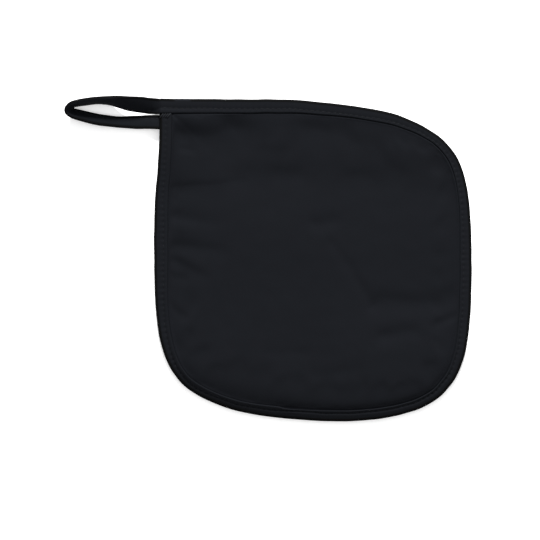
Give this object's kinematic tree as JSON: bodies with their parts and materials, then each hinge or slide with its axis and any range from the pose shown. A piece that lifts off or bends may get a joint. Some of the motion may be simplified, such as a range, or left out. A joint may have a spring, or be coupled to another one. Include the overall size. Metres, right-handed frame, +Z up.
{
  "type": "pot holder",
  "caption": "Padded cotton pot holder with a taped edge and a twisted hanging loop at its one square corner.",
  "frame": {"origin": "middle of the bounding box at its bottom, on the surface that the pot holder lies on", "axes": "+X from the hanging loop along the top edge, +Y towards the top edge, +Z up out of the pad's front face"},
  "size_m": [0.2567, 0.205, 0.0101],
  "materials": {
    "pad_cloth": "matt near-black cotton twill",
    "binding_tape": "matt near-black cotton twill tape, folded and stitched",
    "loop_tape": "matt near-black cotton twill tape, sewn double"
  },
  "bodies": {
    "root": {"pad": "pad_cloth", "edge_binding": "binding_tape", "hanging_loop": "loop_tape"}
  },
  "joints": []
}
